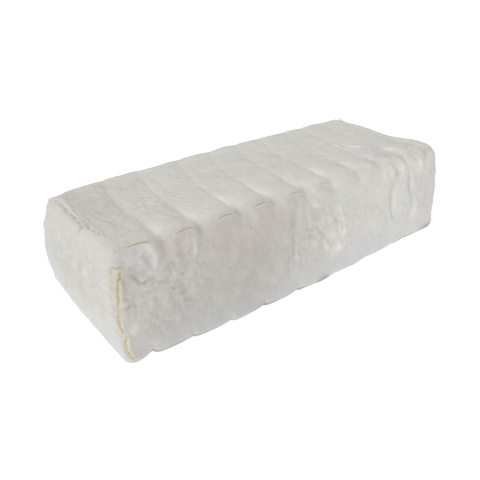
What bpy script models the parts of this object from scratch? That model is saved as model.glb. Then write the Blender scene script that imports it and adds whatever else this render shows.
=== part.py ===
"""A bar of brie: one soft block with a white rind, marked across its top and its base by the draining mat."""

import math

import bmesh
import bpy
from mathutils import Vector, noise

MM = 0.001

# The block before it settles. Along runs from the near end (-X), across from the front side (-Y), up from the base.
LENGTH = 240 * MM
WIDTH = 104 * MM
HEIGHT = 62 * MM
TOP_EDGE_RADIUS = 9 * MM
BASE_EDGE_RADIUS = 6.5 * MM

# How far each corner of the soft block has moved, in mm: (near or far end, front or back side, base or top)
CORNER_SHIFTS = {
    ("near", "front", "base"): (-2.0, -5.0, 0.0),
    ("near", "front", "top"): (0.2, 1.8, 3.2),
    ("near", "back", "base"): (-0.8, 3.9, 0.0),
    ("near", "back", "top"): (2.9, -1.8, -4.6),
    ("far", "front", "base"): (1.0, -0.9, 0.0),
    ("far", "front", "top"): (-1.4, 3.4, 2.4),
    ("far", "back", "base"): (0.0, 0.0, 0.0),
    ("far", "back", "top"): (-0.2, -1.5, -3.0),
}

# How far the middle of each face swells out, and the share of it that the edges of the ends and the top keep
NEAR_END_SWELL = 6.8 * MM
FAR_END_SWELL = 4.2 * MM
NEAR_EDGE_SHARE = 0.3
FAR_EDGE_SHARE = 0.65
FRONT_SWELL = 1.3 * MM
BACK_SWELL = 1.9 * MM
TOP_SWELL = 1.4 * MM
TOP_EDGE_SHARE = 0.6
FOOT_SPREAD = 4.0 * MM

# The marks of the mat's bars. They bow towards the far end at the back, and flare where they meet the sides.
BAR_PITCH = 22 * MM
BAR_COUNT = 10
TOP_FIRST_BAR = 24 * MM
BASE_FIRST_BAR = 14 * MM
BAR_BOW = 5 * MM
MARK_REACH = 16 * MM
MARK_HOLD = 3 * MM
FLARE_REACH = 9 * MM
FLARE_DRIFT = 5.5 * MM
MARK_HALF_WIDTH = 3.0 * MM
FLARE_HALF_WIDTH = 2.4 * MM
STEEP_FLANK = 0.8
MARK_VARIATION = 0.5
BAR_STRAY = 1.5 * MM
TOP_MARK_DEPTH = 0.55 * MM
FRONT_NOTCH_DEPTH = 1.8 * MM
BACK_NOTCH_DEPTH = 0.1 * MM
BASE_MARK_DEPTH = 0.6 * MM
BASE_NOTCH_DEPTH = 0.9 * MM
PILLOW_RISE = 0.35 * MM

# Folds of the rind on each face: depth, then a path, all in mm. A negative depth is a ridge.
# Paths are (along, below the top edge) on the sides, (across, below the top edge) on the ends, (along, across) on top.
FOLDS = {
    "front": (
        (0.9, ((110, 3), (107, 17), (104, 28), (104, 40), (101, 52))),
        (0.8, ((139, 22), (143, 33), (140, 46))),
        (1.3, ((192, 12), (187, 23), (187, 35), (192, 46))),
        (1.0, ((205, 9), (204, 22), (208, 32), (211, 44))),
        (0.7, ((226, 48), (230, 34), (231, 20))),
        (-0.8, ((45, 3), (46, 13), (43, 24))),
        (-0.7, ((33, 12), (36, 20), (40, 30), (43, 40))),
        (-0.7, ((148, 15), (149, 26), (147, 38), (143, 50))),
        (-0.8, ((199, 5), (198, 15), (198, 26))),
    ),
    "back": (
        (0.9, ((28, 8), (31, 24), (27, 42))),
        (-0.7, ((52, 10), (50, 26), (54, 38))),
        (1.0, ((96, 14), (92, 28), (95, 46))),
        (-0.6, ((128, 8), (131, 20), (127, 34))),
        (0.8, ((171, 10), (175, 27), (172, 44))),
        (0.7, ((214, 18), (209, 33), (212, 48))),
    ),
    "near": (
        (0.5, ((30, 14), (34, 30), (31, 44))),
        (0.4, ((70, 20), (66, 38))),
    ),
    "far": (
        (0.8, ((24, 10), (27, 26), (23, 44))),
        (-0.6, ((50, 12), (48, 28))),
        (0.7, ((78, 14), (81, 32), (77, 48))),
    ),
    "top": (
        (0.7, ((8, 30), (7, 55), (6, 92))),
        (-0.6, ((183, 12), (196, 9), (206, 14))),
        (0.6, ((204, 22), (216, 19), (226, 21))),
    ),
}
FOLD_HALF_WIDTH = 3.0 * MM

# Round hollows on the same faces: (first place, second place, radius, depth) in mm. A negative depth is a lump.
HOLLOWS = {
    "front": ((16, 12, 6.5, 1.6), (193, 10, 3.5, 1.6), (37, 30, 5.0, 0.8)),
    "back": ((66, 16, 6.0, 1.2), (150, 34, 7.0, 0.9)),
    "near": ((52, 32, 16.0, -0.8),),
    "far": ((60, 36, 9.0, 0.9), (42, 2, 18.0, 1.2)),
    "top": ((214, 10, 7.0, -0.7), (236, 42, 18.0, 1.8)),
}

# How squarely a point has to face the same way as a face before that face's folds start, and before they are full
FACE_START = 0.3
FACE_FULL = 0.9

# Uneven thickness of the rind. Its wrinkles are finer on the sides, and the base is pressed flat.
LUMP_SIZE = 26 * MM
LUMP_HEIGHT = 0.7 * MM
WRINKLE_SIZE = 9 * MM
WRINKLE_HEIGHT = 0.45 * MM
WRINKLE_SHARE_ON_TOP = 0.3
BASE_START = -0.3
BASE_FULL = -0.9

# The mesh: steps round an edge, between the edges, and its lines beside each bar in shares of the pitch
EDGE_STEPS = 3
STEPS_ACROSS = 15
STEPS_UP = 8
LINES_BESIDE_BAR = (-0.45, -0.28, -0.12, 0, 0.12, 0.3)


def smooth(start, end, value):
    """0 before start, 1 after end, with a soft ramp between."""
    share = min(1.0, max(0.0, (value - start) / (end - start)))
    return share * share * (3 - 2 * share)


def bell(distance, reach):
    return math.exp(-((distance / reach) ** 2))


def mix(first, second, share):
    return first + (second - first) * share


def edge_lines():
    """Places across a round edge, from the corner inwards, that turn it in equal steps."""
    turns = [math.radians(45) * (1 - i / EDGE_STEPS) for i in range(EDGE_STEPS)]
    return [TOP_EDGE_RADIUS * (1 - math.tan(turn)) for turn in turns]


def with_edges(middle, size):
    """The mesh lines of one direction: round edges at both ends, and the given lines between them."""
    edge = edge_lines()
    return edge + middle + [size - place for place in reversed(edge)]


def even_lines(size, steps):
    room = size - 2 * TOP_EDGE_RADIUS
    return with_edges([TOP_EDGE_RADIUS + room * i / steps for i in range(steps + 1)], size)


def bar_lines():
    """Mesh lines along the block, closest together in the marks of the bars."""
    bars = [TOP_FIRST_BAR + bar * BAR_PITCH for bar in range(BAR_COUNT)]
    beside = [bar + share * BAR_PITCH for bar in bars for share in LINES_BESIDE_BAR]
    return with_edges([TOP_EDGE_RADIUS] + beside + [LENGTH - TOP_EDGE_RADIUS], LENGTH)


def square_block():
    """The block as a cube primitive, cut into a grid along the mesh lines."""
    shape = bmesh.new()
    bmesh.ops.create_cube(shape, size=1)
    lines = (bar_lines(), even_lines(WIDTH, STEPS_ACROSS), even_lines(HEIGHT, STEPS_UP))
    for axis, places in enumerate(lines):
        along_axis = [
            edge
            for edge in shape.edges
            if abs(edge.verts[0].co[axis] - edge.verts[1].co[axis]) > 0.5
        ]
        bmesh.ops.subdivide_edges(shape, edges=along_axis, cuts=len(places) - 2)
    for vertex in shape.verts:
        for axis, places in enumerate(lines):
            vertex.co[axis] = places[round((vertex.co[axis] + 0.5) * (len(places) - 1))]
    return shape


def round_edges(place):
    """A point of the square block moved onto the block with round edges, and the way it faces there."""
    size = Vector((LENGTH, WIDTH, HEIGHT))
    radius = mix(BASE_EDGE_RADIUS, TOP_EDGE_RADIUS, smooth(0, HEIGHT, place.z))
    core = Vector(min(max(p, radius), s - radius) for p, s in zip(place, size))
    facing = (place - core).normalized()
    return core + facing * radius, facing


def settle(place):
    """How far a point has moved as the soft block settled: its corners shift and its faces swell."""
    along = place.x / LENGTH
    across = place.y / WIDTH
    up = place.z / HEIGHT
    moved = Vector((0, 0, 0))
    for (end, side, level), shift in CORNER_SHIFTS.items():
        share = along if end == "far" else 1 - along
        share *= across if side == "back" else 1 - across
        share *= up if level == "top" else 1 - up
        moved += Vector(shift) * MM * share
    arch_along = 4 * along * (1 - along)
    arch_across = 4 * across * (1 - across)
    arch_up = 4 * up * (1 - up)
    to_end = 2 * along - 1
    to_side = 2 * across - 1
    end_swell = mix(NEAR_END_SWELL, FAR_END_SWELL, along)
    edge_share = mix(NEAR_EDGE_SHARE, FAR_EDGE_SHARE, along)
    side_swell = mix(FRONT_SWELL, BACK_SWELL, across)
    foot = FOOT_SPREAD * (1 - up) ** 2
    moved.x += end_swell * to_end * mix(edge_share, 1, arch_across) * arch_up
    moved.x += BAR_BOW * across**2 * arch_along
    moved.y += (side_swell * arch_up + foot * abs(to_side)) * to_side * arch_along
    moved.z += TOP_SWELL * up * arch_along * mix(TOP_EDGE_SHARE, 1, arch_across)
    return moved


def mat_mark(place, first_bar, mark_depth, front_depth, back_depth):
    """Depth of the marks that the mat's bars left. Between two marks the soft cheese stands a little proud."""
    front = bell(place.y, FLARE_REACH)
    back = bell(WIDTH - place.y, FLARE_REACH)
    turns = (place.x - FLARE_DRIFT * front - first_bar) / BAR_PITCH
    bar = min(max(round(turns), 0), BAR_COUNT - 1)
    stray = BAR_STRAY * noise.noise(Vector((0.5, bar + 0.5, 0.5)))
    from_bar = (turns - bar) * BAR_PITCH - stray
    half_width = MARK_HALF_WIDTH + FLARE_HALF_WIDTH * (front + back)
    if from_bar > 0:
        half_width *= STEEP_FLANK
    variation = 1 + MARK_VARIATION * noise.noise(Vector((bar + 0.5, 0.5, 0.5)))
    depth = (mark_depth + front_depth * front + back_depth * back) * variation
    from_middle = 1 - 2 * min(abs(from_bar) / BAR_PITCH, 0.5)
    return depth * bell(from_bar, half_width) - PILLOW_RISE * (1 - from_middle**2)


def distance_to_path(point, path):
    nearest = math.inf
    for start, end in zip(path, path[1:]):
        start, end = Vector(start) * MM, Vector(end) * MM
        run = end - start
        share = min(1.0, max(0.0, (point - start).dot(run) / run.length_squared))
        nearest = min(nearest, (point - start - run * share).length)
    return nearest


def face_relief(face, point):
    """Depth of the folds and hollows of one face's rind."""
    depth = 0.0
    for fold_depth, path in FOLDS[face]:
        depth += fold_depth * MM * bell(distance_to_path(point, path), FOLD_HALF_WIDTH)
    for first, second, radius, hollow_depth in HOLLOWS[face]:
        away = (point - Vector((first, second)) * MM).length
        depth += hollow_depth * MM * bell(away, radius * MM)
    return depth


def relief(place, facing):
    """Depth of the surface below the smooth block at a point, positive inwards."""
    drop = HEIGHT - place.z
    near_top = 1 - smooth(MARK_HOLD, MARK_REACH, drop)
    near_base = 1 - smooth(MARK_HOLD, MARK_REACH, place.z)
    top_mark = mat_mark(place, TOP_FIRST_BAR, TOP_MARK_DEPTH, FRONT_NOTCH_DEPTH, BACK_NOTCH_DEPTH)
    base_mark = mat_mark(place, BASE_FIRST_BAR, BASE_MARK_DEPTH, BASE_NOTCH_DEPTH, BASE_NOTCH_DEPTH)
    depth = near_top * top_mark + near_base * max(0.0, base_mark)
    faces = {
        "front": (-facing.y, place.x, drop),
        "back": (facing.y, place.x, drop),
        "near": (-facing.x, place.y, drop),
        "far": (facing.x, place.y, drop),
        "top": (facing.z, place.x, place.y),
    }
    for face, (squareness, first, second) in faces.items():
        share = smooth(FACE_START, FACE_FULL, squareness)
        if share > 0:
            depth += share * face_relief(face, Vector((first, second)))
    wrinkle_share = mix(1, WRINKLE_SHARE_ON_TOP, abs(facing.z))
    unevenness = LUMP_HEIGHT * noise.noise(place / LUMP_SIZE)
    unevenness += WRINKLE_HEIGHT * noise.noise(place / WRINKLE_SIZE) * wrinkle_share
    return depth + unevenness * smooth(BASE_FULL, BASE_START, facing.z)


def brie_loaf():
    shape = square_block()
    for vertex in shape.verts:
        place, facing = round_edges(vertex.co)
        vertex.co = place + settle(place) - facing * relief(place, facing)
    low = Vector(min(v.co[axis] for v in shape.verts) for axis in range(3))
    high = Vector(max(v.co[axis] for v in shape.verts) for axis in range(3))
    foot = Vector(((low.x + high.x) / 2, (low.y + high.y) / 2, low.z))
    bmesh.ops.translate(shape, verts=shape.verts, vec=-foot)
    bmesh.ops.recalc_face_normals(shape, faces=shape.faces)
    mesh = bpy.data.meshes.new("brie_loaf")
    shape.to_mesh(mesh)
    shape.free()
    mesh.shade_smooth()
    loaf = bpy.data.objects.new("brie_loaf", mesh)
    bpy.context.scene.collection.objects.link(loaf)
    return loaf


def bloomy_rind():
    """White mould rind: dry, matt and a little warm."""
    material = bpy.data.materials.new("bloomy_rind")
    material.use_nodes = True
    shader = material.node_tree.nodes["Principled BSDF"]
    shader.inputs["Base Color"].default_value = (0.76, 0.74, 0.69, 1)
    shader.inputs["Roughness"].default_value = 0.85
    shader.inputs["Metallic"].default_value = 0
    return material


def main():
    for leftover in list(bpy.data.objects):
        bpy.data.objects.remove(leftover)
    loaf = brie_loaf()
    loaf.data.materials.append(bloomy_rind())


main()
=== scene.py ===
"""A bar of brie in its white bloomy rind, on a pale studio floor."""

import math

import bpy
import numpy as np
from mathutils import Matrix, Vector


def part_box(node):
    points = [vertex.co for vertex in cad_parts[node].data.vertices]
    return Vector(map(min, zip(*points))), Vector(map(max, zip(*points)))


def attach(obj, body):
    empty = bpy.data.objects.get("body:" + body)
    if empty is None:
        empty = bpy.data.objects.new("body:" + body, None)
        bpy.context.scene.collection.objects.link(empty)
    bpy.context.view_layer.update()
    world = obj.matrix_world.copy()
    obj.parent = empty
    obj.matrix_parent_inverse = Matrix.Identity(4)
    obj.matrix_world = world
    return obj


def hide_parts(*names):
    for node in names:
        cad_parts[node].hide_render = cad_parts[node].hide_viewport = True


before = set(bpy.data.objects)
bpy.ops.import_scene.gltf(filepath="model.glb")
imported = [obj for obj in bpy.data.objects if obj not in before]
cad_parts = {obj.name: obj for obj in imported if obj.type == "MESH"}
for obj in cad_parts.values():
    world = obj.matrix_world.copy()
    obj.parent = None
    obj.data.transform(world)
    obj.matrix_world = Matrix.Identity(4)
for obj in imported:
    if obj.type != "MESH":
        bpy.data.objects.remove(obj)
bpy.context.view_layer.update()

MM = 0.001

# The block before it settles: along from the near end (-X), across from the front side (-Y), and up
LENGTH = 240 * MM
WIDTH = 104 * MM
HEIGHT = 62 * MM
TOP_EDGE_RADIUS = 8.5 * MM
NEAR_TOP_EDGE_RADIUS = 5.5 * MM
NEAR_EDGE_REACH = 30 * MM
BASE_EDGE_RADIUS = 5.6 * MM

# How far each corner of the soft block has moved, in mm: (near or far end, front or back side, base or top)
CORNER_SHIFTS = {
    ("near", "front", "base"): (0.9, -2.3, 0.0),
    ("near", "front", "top"): (0.2, 1.8, 3.2),
    ("near", "back", "base"): (1.6, 3.4, 0.0),
    ("near", "back", "top"): (3.0, -1.8, -3.6),
    ("far", "front", "base"): (3.2, 2.5, 0.0),
    ("far", "front", "top"): (0.2, 3.1, 1.3),
    ("far", "back", "top"): (-0.2, -1.5, -2.5),
}

# How far the middle of each face swells out, and the share of it that the edges of the ends and the top keep
NEAR_END_SWELL = 6.8 * MM
FAR_END_SWELL = 4.2 * MM
NEAR_EDGE_SHARE = 0.36
FAR_EDGE_SHARE = 0.75
FRONT_SWELL = 1.3 * MM
BACK_SWELL = 1.9 * MM
TOP_SWELL = 1.4 * MM
TOP_EDGE_SHARE = 0.6

# How far the foot of the sides spreads. It spreads less beyond this stretch of the length
FOOT_SPREAD = 4.0 * MM
FAR_FOOT_SHARE = 0.6
FAR_FOOT_STRETCH = (0.5, 0.75)

# The marks of the draining mat's bars. They bow and lean towards the far end at the back, wander a little,
# and flare where they meet the sides
BAR_COUNT = 10
BAR_BOW = 5 * MM
BAR_LEAN = 18 * MM
LEAN_START = 20 * MM
NEAR_LEAN_SHARE = 0.35
LEAN_SPREAD = (20 * MM, 100 * MM)
FLARE_REACH = 6.5 * MM
FLARE_DRIFT = 1.5 * MM
BAR_WANDER = 1.8 * MM
BAR_WANDER_SIZE = 16 * MM

# The rind stands this much proud before the bars sink in. They press less behind the front part of the bar
RISE = 0.6 * MM
FRONT_PART = 8 * MM
BACK_PART = 31 * MM
PRESSED_AT_BACK = 0.25

# Each mat: its first bar, how far the rind swells between two bars, how deep a mark is, how much deeper at
# the front and at the back edge, its half width, how much wider at an edge, how much wider its near flank is,
# how pointed it is, and two heights on the sides, with how much of it there is at each
MATS = {
    "Top mat marks": (
        27.7 * MM, 1.5 * MM, 0.7 * MM, 1.4 * MM, 0.1 * MM, 1.9 * MM, 0.4 * MM, 1.1, 1.4,
        (HEIGHT - 14 * MM, HEIGHT - 2 * MM, 0, 1),
    ),
    "Base mat marks": (
        12 * MM, 0.3 * MM, 0.3 * MM, 1.2 * MM, 0.9 * MM, 1.2 * MM, 0.4 * MM, 3.6, 1.3,
        (3 * MM, 11 * MM, 1, 0),
    ),
}

# How far each bar lay from its even place, in mm, and how hard it pressed, from the near end
STRAYS = {
    "Top mat marks": (-1.3, -2.0, 0.7, 1.0, 1.5, 0.7, 1.0, -1.0, -1.0, -1.0),
    "Base mat marks": (1.5, 2.1, 3.8, 4.8, 8.0, 0.0, -5.0, 4.5, 8.0, 0.0),
}
PRESSURES = {
    "Top mat marks": (0.8, 1.1, 1.1, 1.15, 1.1, 0.9, 0.8, 0.7, 0.7, 0.5),
    "Base mat marks": (1.55, 0.65, 0.8, 0.75, 0.6, 0.1, 0.25, 0.3, 0.45, 0.2),
}

# Folds of the rind on each face: depth, half width, then a path, all in mm. A negative depth is a ridge.
# Paths are (along, drop from the top) on the sides, (across, drop) on the ends and (along, across) on top
FOLDS = {
    "front": (
        (1.2, 0.9, ((10.5, 13.5), (12.5, 17), (15.5, 20.5))),
        (0.6, 0.9, ((15.5, 20.5), (19, 20), (23, 18.5))), (0.7, 1.2, ((17, 6), (20, 9.5), (21, 14))),
        (-1.3, 1.4, ((15, 2), (20, 3), (23.5, 7), (24, 12), (22.8, 17))),
        (-0.5, 1, ((14, 7), (17, 10), (16, 14))), (-0.5, 1, ((14, 18.5), (19, 18))),
        (0.9, 0.9, ((4.5, 29), (7, 29.4), (10.5, 28.8))), (-0.5, 1.1, ((4, 26.8), (8, 26.8))),
        (-0.6, 1.4, ((6, 43), (9, 40), (12, 38))), (0.9, 1.1, ((5, 12), (6.5, 17), (8, 22))),
        (0.9, 1.5, ((24, 2), (26, 5), (28, 8.5))), (-0.6, 1.5, ((33, 8), (35, 15), (36, 20), (33, 24))),
        (0.7, 1.5, ((30, 15), (31, 20), (29, 25))), (0.6, 1, ((32, 23), (36, 26), (38, 31), (37, 36))),
        (-0.5, 1.2, ((41, 28), (43, 31), (41.5, 35))),
        (-0.9, 0.9, ((44.3, 3), (46, 8), (45.8, 14), (43.5, 21))),
        (0.4, 1.6, ((48, 1), (49.5, 3.5), (50, 8))), (0.4, 3, ((38, 8), (39, 16))),
        (0.6, 1.5, ((72, 1), (76, 4), (79, 8), (81, 12))),
        (-0.8, 1.5, ((77, 0.5), (81, 3), (83.5, 6.5), (84, 11))), (0.5, 1.7, ((94, 1), (97, 3), (99, 8))),
        (-0.7, 1.6, ((98.5, 0.7), (102, 3), (104, 8))), (0.4, 1.7, ((118, 0.7), (121, 3), (123, 7))),
        (-0.6, 1.6, ((122, 0.7), (125, 3), (127, 7))), (-0.6, 1, ((79, 8.5), (81, 11))),
        (0.5, 1, ((79, 48), (80.5, 40), (86, 34))),
        (0.75, 2.4, ((112, 2), (111, 8), (109, 16), (108.5, 24), (107, 31), (106, 38))),
        (0.4, 1.2, ((109, 16), (106, 20), (104, 26))),
        (0.5, 0.9, ((108, 26), (108.6, 32), (106.5, 37), (107.5, 43))),
        (0.5, 0.9, ((103.5, 33), (104.5, 38), (102.5, 44), (103.5, 49))),
        (-0.5, 1, ((105.5, 29), (105, 34), (106, 39))),
        (-0.6, 1.1, ((110.5, 30), (109.5, 36), (110.5, 42), (108.5, 48))),
        (-0.5, 1.6, ((115, 6), (113.5, 13), (113, 20))), (-0.5, 1.1, ((124, 11), (128, 12.5))),
        (0.5, 0.8, ((117, 15), (119, 20), (118, 26), (120.5, 31))),
        (-0.5, 0.9, ((119.5, 14), (121.5, 20), (120.5, 25))),
        (0.5, 0.8, ((124, 25), (128, 28), (131, 33), (127, 35))),
        (-0.5, 0.9, ((123, 28), (126.5, 31), (125, 36))), (-0.5, 0.9, ((134, 17), (136, 22), (135, 28))),
        (1, 0.9, ((139.5, 22), (141, 27), (142, 31), (141.5, 36))), (0.6, 0.9, ((139.5, 38), (136.5, 41))),
        (0.7, 0.8, ((145, 28), (145.2, 32), (146, 35))), (-0.9, 1.6, ((143, 17.5), (145, 21))),
        (-1.1, 1.4, ((144.5, 24.5), (147.5, 26.5))), (-1, 1.2, ((142, 28.5), (143.5, 33))),
        (-1.2, 1.6, ((147.2, 32), (146, 36.5))), (-1.3, 1.7, ((143.5, 41), (141, 44))),
        (-0.8, 1.4, ((148.5, 40.5), (146, 44.5))), (-0.8, 1.2, ((138, 44.5), (136, 47))),
        (-0.9, 1.4, ((135.5, 34), (139, 32.5))), (-0.8, 1.4, ((131.5, 38), (133.5, 41.5))),
        (0.7, 2, ((132, 2), (135, 6), (143, 9))), (0.4, 1.2, ((155, 36), (153, 44))),
        (-0.6, 2.2, ((179, 5), (184, 9), (183, 14))),
        (0.8, 1.5, ((181, 0.6), (185, 1.2), (189.5, 2), (193, 5), (195, 9), (195.5, 13))),
        (0.5, 1.3, ((160, 1.5), (166, 1.2), (173, 1.8))),
        (0.8, 1.4, ((205, 0.4), (209, 1.5), (213, 3), (215, 6.5))),
        (-0.8, 1.8, ((197, 4), (201, 7), (200, 13))),
        (1, 1.2, ((194, 13), (190.6, 19), (189, 26), (190, 35), (195, 45))),
        (-0.6, 1.8, ((193.5, 18), (192.5, 27), (193.5, 35))),
        (1, 1.2, ((207, 10), (207.3, 16), (207.5, 24), (211, 32), (211.5, 39))),
        (-0.6, 1.6, ((211, 13), (212, 20), (210.5, 26))),
        (-0.9, 1.3, ((214.5, 33), (217, 38), (214.5, 43), (212, 49))),
        (0.6, 1.2, ((210, 40), (213, 44), (211, 50))), (-0.7, 1.2, ((217, 34), (220, 31.5), (224, 31))),
        (0.8, 1.4, ((229, 27), (228, 35), (224, 43))), (-0.7, 1.8, ((216.5, 3), (219, 8), (220.5, 14))),
        (-0.5, 1.2, ((226, 10), (228.5, 14), (226, 18))), (-0.4, 3, ((5, 45), (12, 40))),
    ),
    "back": (
        (0.5, 1.4, ((22, 1), (25, 5), (25, 11))), (-0.7, 1.6, ((27, 2), (30, 7), (29, 14))),
        (0.6, 1.5, ((38, 12), (44, 20), (43, 31), (47, 40))), (-0.6, 1.8, ((48, 16), (50, 27), (47, 35))),
        (0.5, 1.6, ((70, 1), (73, 6), (71, 12))), (-0.8, 1.4, ((84, 24), (88, 33), (85, 44))),
        (-0.6, 1.2, ((91, 20), (93, 28), (90, 34))), (0.6, 1.1, ((88, 22), (90.5, 30), (88, 40))),
        (0.5, 1.5, ((115, 1), (118, 5), (117, 10))), (-0.7, 2, ((136, 10), (141, 18), (150, 22))),
        (0.5, 1.3, ((134, 14), (138, 22), (146, 27), (149, 38))),
        (0.5, 1.6, ((161, 1), (164, 6), (163, 12))), (-0.6, 1.5, ((186, 30), (182, 38), (185, 47))),
        (0.6, 1.4, ((196, 8), (203, 14), (205, 25), (200, 36))),
        (-0.8, 1.8, ((209, 10), (212, 20), (210, 31))), (0.5, 1.1, ((222, 38), (216, 43), (211, 50))),
    ),
    "near": (
        (0.5, 2.5, ((30, 14), (34, 30), (31, 44))), (0.4, 2.5, ((70, 20), (66, 38))),
        (0.6, 1, ((16, 22), (20, 24))), (0.4, 1.2, ((10, 12), (13, 30), (11, 46))),
        (-0.4, 2, ((82, 26), (76, 40))),
    ),
    "far": (
        (0.6, 1.5, ((14, 8), (18, 17), (16, 30), (20, 44))), (-0.8, 1.8, ((22, 12), (25, 22), (23, 33))),
        (-0.6, 1.4, ((38, 34), (45, 40), (54, 41))), (0.5, 1.2, ((36, 38), (44, 44), (55, 45))),
        (0.5, 1.5, ((72, 4), (77, 13), (84, 19), (86, 31))), (-0.7, 1.8, ((64, 16), (69, 24), (67, 33))),
    ),
    "top": (
        (0.7, 1.4, ((165, 10), (171, 12), (177, 7.5), (181, 3))),
        (-0.7, 1.6, ((180, 12.5), (185, 6), (190, 2.5))),
        (0.9, 1.4, ((190, 12), (197.5, 7.5), (203, 2.5), (206, 0.5))),
        (-0.8, 1.8, ((203, 19), (205.5, 8), (210, 5))), (-0.5, 2, ((216, 19), (216, 8), (222, 2))),
        (0.6, 1.4, ((228, 14), (222, 8), (226, 3))),
        (-1.1, 1.5, ((189, 41), (188.5, 33), (191, 28.5), (201, 30))), (-1, 1.4, ((183, 39), (184, 47))),
        (0.5, 1.4, ((192, 40), (193, 32), (199, 34))), (0.6, 1.3, ((204, 22), (216, 19), (226, 21))),
        (0.5, 1.2, ((160, 22), (166, 20), (171, 16))),
        (0.35, 2.2, ((24, 14), (24.5, 30), (25.5, 45), (27, 64), (31, 84), (33, 97))),
        (-0.25, 3, ((29, 22), (30, 45), (32, 64), (37, 88))),
        (0.35, 0.9, ((10, 53), (12.5, 38), (14.5, 26), (19, 12))),
        (0.3, 0.9, ((14.4, 56), (16.4, 36), (18.4, 20))), (-0.8, 1.1, ((6.2, 88), (5.4, 82), (6.2, 76))),
        (-0.7, 1, ((4.8, 75), (5.6, 69), (4.6, 63))), (-0.7, 1, ((3.4, 60), (4.2, 54), (2.8, 47))),
        (-0.6, 1.1, ((1.8, 28), (1.4, 18))),
    ),
}

# Round hollows on the same faces, in mm: the two places, radius and depth. A negative depth is a lump
HOLLOWS = {
    "front": (
        (237, 3, 8, 0.9), (15, 11, 5.5, 1.2), (195.5, 10, 2.4, 0.4), (36, 30, 5, 0.6), (80, 11, 1.4, 0.6),
        (27, 60, 10, 0.6), (64, 60, 8, -0.5), (113, 60, 5, 0.8), (128, 60, 6, -0.5), (158, 60, 6, -0.7),
        (209, 60, 12, 0.9), (237, 56, 5, -0.35),
    ),
    "back": ((3, 3, 9, 1), (66, 16, 6, 1.2), (150, 34, 7, 0.9)),
    "near": (
        (102, 2, 8, 3), (102, 10, 7, 1.4), (52, 32, 16, -0.8), (101, 38, 8, -0.9), (103, 53, 5, 1.3),
        (95, 61, 4, -0.4), (28, 60, 12, 0.25),
    ),
    "far": ((3, 3, 8, 1.4), (60, 36, 9, 0.9), (42, 2, 18, 1.2), (3, 56, 5, -0.45)),
    "top": (
        (2, 102, 8, 2.8), (6, 103, 16, 1.4), (47, 103, 4, 0.5), (56, 103, 4, -1.2), (66, 103, 5, 1.3),
        (72, 103, 6, 1.2), (224, 103, 8, 0.6), (237, 3, 8, 1), (209, 13, 8, -1), (236, 42, 18, 1.8),
        (37.5, 38, 1, 0.8),
    ),
}

# How pointed a crease is. A ridge, or a fold of at least this half width in mm, is round
CREASE_POINT = 1.3
SOFT_FOLD = 2.4

# Folds and lines taper to nothing, apart from this share of their length, which is left out at each end
FOLD_END = 0.03
LINE_END = 0.06

# How squarely a point has to face the same way as a face before its folds start, and before they are full
FACE_START = 0.3
FACE_FULL = 0.9

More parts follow.
